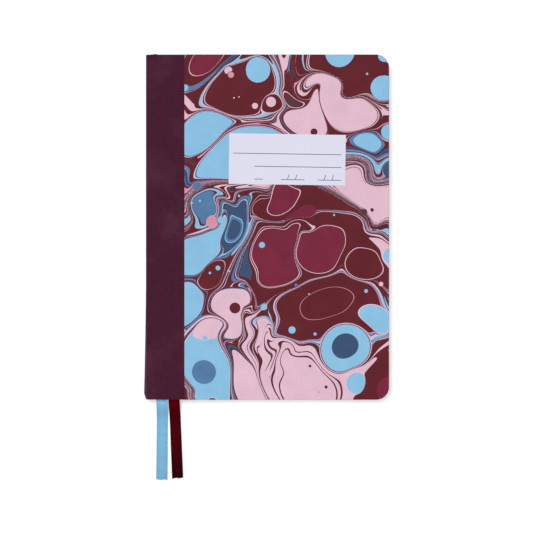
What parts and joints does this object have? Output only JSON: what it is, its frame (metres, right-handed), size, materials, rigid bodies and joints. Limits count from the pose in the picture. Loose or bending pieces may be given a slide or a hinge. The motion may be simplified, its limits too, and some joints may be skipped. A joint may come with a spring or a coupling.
{
  "type": "composition notebook",
  "caption": "Hardback notebook, quarter bound in dark cloth with marbled paper sides, a blank ruled label and two ribbon markers; both covers swing open.",
  "frame": {"origin": "centre of the underside of the back cover, with the book closed and the ribbons left out", "axes": "+X from the spine to the fore edge, +Y from the tail to the head, +Z from the back cover to the front cover"},
  "size_m": [0.152, 0.2677, 0.0177],
  "materials": {
    "page_paper": "matte uncoated writing paper",
    "endpaper": "matte uncoated endpaper",
    "kraft_paper": "matte kraft lining",
    "greyboard": "plain grey bookbinding board",
    "book_cloth": "fine woven book cloth, matte",
    "band_cloth": "striped silk head band",
    "marbled_ground": "matte marbled paper, maroon ground",
    "ink_blue": "matte printed light blue",
    "ink_slate": "matte printed slate blue",
    "ink_pink": "matte printed pale pink",
    "ink_plum": "matte printed plum",
    "label_paper": "smooth pale label paper",
    "label_ink": "printed grey ruling",
    "blue_satin": "woven satin ribbon with ribbed selvedges",
    "red_satin": "woven satin ribbon with ribbed selvedges"
  },
  "bodies": {
    "text_block": {"page_block": "page_paper", "front_flyleaf": "endpaper", "back_flyleaf": "endpaper", "spine_lining": "kraft_paper", "head_band": "band_cloth", "tail_band": "band_cloth", "spine_card": "greyboard", "spine_cloth": "book_cloth", "blue_ribbon": "blue_satin", "red_ribbon": "red_satin"},
    "front_cover": {"front_board": "greyboard", "front_cloth": "book_cloth", "front_paper": "marbled_ground", "front_pastedown": "endpaper", "front_print_blue": "ink_blue", "front_print_slate": "ink_slate", "front_print_pink": "ink_pink", "front_print_plum": "ink_plum", "label": "label_paper", "label_ruling": "label_ink"},
    "back_cover": {"back_board": "greyboard", "back_cloth": "book_cloth", "back_paper": "marbled_ground", "back_pastedown": "endpaper", "back_print_blue": "ink_blue", "back_print_slate": "ink_slate", "back_print_pink": "ink_pink", "back_print_plum": "ink_plum"}
  },
  "joints": [
    {"name": "front_hinge", "type": "hinge", "parent": "text_block", "child": "front_cover", "pos_m": [-0.07575, 0, 0.01475], "axis": [0, -1, 0], "range_deg": [0, 180]},
    {"name": "back_hinge", "type": "hinge", "parent": "text_block", "child": "back_cover", "pos_m": [-0.07575, 0, 0.00275], "axis": [0, 1, 0], "range_deg": [0, 180]}
  ]
}
